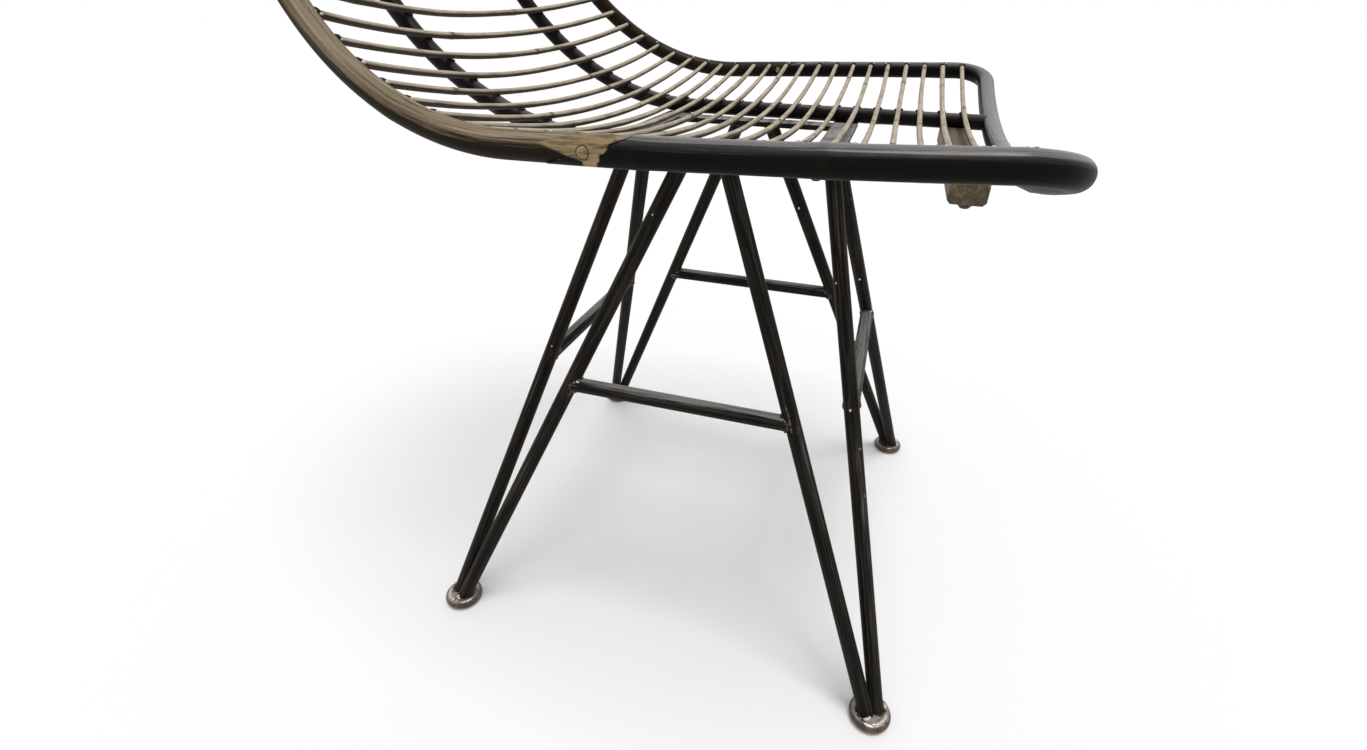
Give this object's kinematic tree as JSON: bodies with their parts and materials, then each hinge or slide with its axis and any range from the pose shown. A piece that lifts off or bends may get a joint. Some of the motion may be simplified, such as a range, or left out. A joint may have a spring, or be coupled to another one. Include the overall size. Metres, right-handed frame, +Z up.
{
  "type": "rattan rod dining chair",
  "caption": "Dining chair with a one-piece scoop seat and back of dark rattan poles and thin cane rods, on a base of splayed black steel bars with round feet.",
  "frame": {"origin": "on the floor, under the middle of the chair's overall width and depth", "axes": "+X to the sitter's left, -Y to the front of the chair, +Z up"},
  "size_m": [0.4734, 0.5274, 0.7844],
  "materials": {
    "bar_black": "black lacquer brushed on round bar, with worn olive and grey streaks and burnished weld marks",
    "plate_black": "black lacquered flat bar, worn to grey on the upper face",
    "foot_bronze": "brown bronze patina over steel, glossy on the bulging edge",
    "rim_black": "bent rattan pole in satin black lacquer with small scratches",
    "rim_brown": "bent rattan pole in weathered brown black stain with long grain",
    "pole_black": "bent rattan pole in satin black lacquer with node rings",
    "rod_cane": "thin rattan rods washed grey beige, with darker nodes and undersides",
    "brace_brown": "sawn hardwood bar in dark golden brown with pale worn edges",
    "dowel_tan": "plain end grain dowel, tan",
    "screw_black": "black oxide steel"
  },
  "bodies": {
    "root": {"back_leg_left": "bar_black", "back_leg_right": "bar_black", "back_rods_01": "rod_cane", "back_rods_02": "rod_cane", "back_rods_03": "rod_cane", "back_rods_04": "rod_cane", "back_rods_05": "rod_cane", "back_rods_06": "rod_cane", "back_rods_07": "rod_cane", "back_rods_08": "rod_cane", "back_rods_09": "rod_cane", "back_rods_10": "rod_cane", "back_rods_11": "rod_cane", "brace_screws": "screw_black", "crossbar_back": "bar_black", "crossbar_front": "bar_black", "crossbar_left": "bar_black", "crossbar_right": "bar_black", "foot_back_left": "foot_bronze", "foot_back_right": "foot_bronze", "foot_front_left": "foot_bronze", "foot_front_right": "foot_bronze", "front_brace": "brace_brown", "front_leg_left": "bar_black", "front_leg_right": "bar_black", "plate_screws": "screw_black", "pole_left": "pole_black", "pole_right": "pole_black", "rim_back": "rim_brown", "rim_front": "rim_black", "seat_plate_back": "plate_black", "seat_plate_front": "plate_black", "seat_rod_01": "rod_cane", "seat_rod_02": "rod_cane", "seat_rod_03": "rod_cane", "seat_rod_04": "rod_cane", "seat_rod_05": "rod_cane", "seat_rod_06": "rod_cane", "seat_rod_07": "rod_cane", "seat_rod_08": "rod_cane", "seat_rod_09": "rod_cane", "seat_rod_10": "rod_cane", "seat_rod_11": "rod_cane", "seat_rod_12": "rod_cane", "seat_rod_13": "rod_cane", "seat_rod_14": "rod_cane", "seat_rod_15": "rod_cane", "seat_rod_16": "rod_cane", "seat_rod_17": "rod_cane", "side_leg_back_left": "bar_black", "side_leg_back_right": "bar_black", "side_leg_front_left": "bar_black", "side_leg_front_right": "bar_black", "side_rail_left": "plate_black", "side_rail_right": "plate_black", "splice_dowels": "dowel_tan"}
  },
  "joints": []
}
